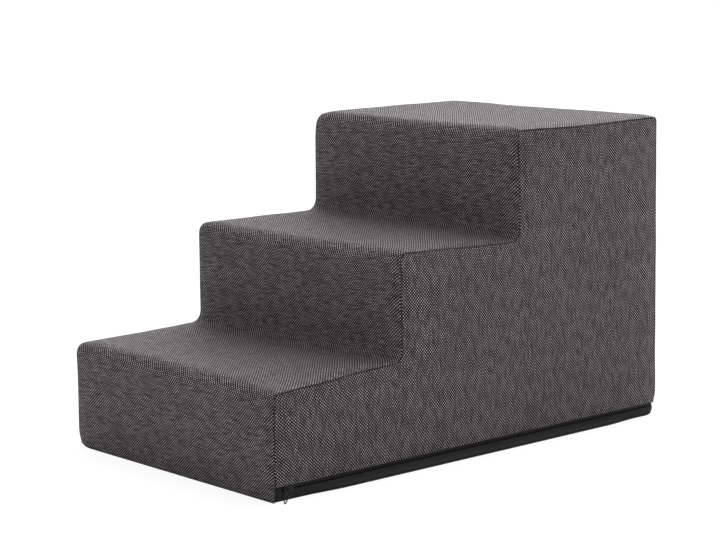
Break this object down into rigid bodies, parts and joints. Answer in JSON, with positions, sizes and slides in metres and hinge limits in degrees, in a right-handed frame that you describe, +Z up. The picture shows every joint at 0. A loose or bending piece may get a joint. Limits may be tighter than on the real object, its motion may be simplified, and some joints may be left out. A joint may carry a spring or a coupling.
{
  "type": "pet stair",
  "caption": "Three-step foam pet stair with a removable two-tone woven cover, closed by a zip round the bottom of its sides and back.",
  "frame": {"origin": "middle of the base's underside, on the floor", "axes": "+Z up; +Y is the way a pet climbs, from the first riser at -Y to the back at +Y; +X is the side with the zip's slider"},
  "size_m": [0.3674, 0.6, 0.363],
  "materials": {
    "woven_cover": "coarse two-tone basket weave of charcoal and light grey slub yarn, matte",
    "base_cloth": "black coated non-slip cloth, matte",
    "zip_tape": "black woven polyester tape, slight sheen",
    "zip_coil": "black nylon coil",
    "slider_metal": "black enamelled zinc casting, satin",
    "pull_wire": "black enamelled steel wire, satin",
    "core_foam": "open-cell polyurethane foam, off-white"
  },
  "bodies": {
    "stair": {"base_panel": "base_cloth", "cover_side_panel_left": "woven_cover", "cover_side_panel_right": "woven_cover", "cover_stair_panel": "woven_cover", "foam_slab_lower": "core_foam", "foam_slab_middle": "core_foam", "foam_slab_upper": "core_foam", "zip_coil_lower": "zip_coil", "zip_coil_upper": "zip_coil", "zip_end_tab_left": "base_cloth", "zip_end_tab_right": "base_cloth", "zip_tape_lower": "zip_tape", "zip_tape_upper": "zip_tape"},
    "slider": {"slider_body": "slider_metal"},
    "pull": {"pull_loop": "pull_wire"}
  },
  "joints": [
    {"name": "slider_travel", "type": "slide", "parent": "stair", "child": "slider", "axis": [0, 1, 0], "range_m": [0, 0.555]},
    {"name": "pull_swing", "type": "hinge", "parent": "slider", "child": "pull", "pos_m": [0.1792, -0.279, 0.0115], "axis": [0, 0, 1], "range_deg": [-30, 150]}
  ]
}
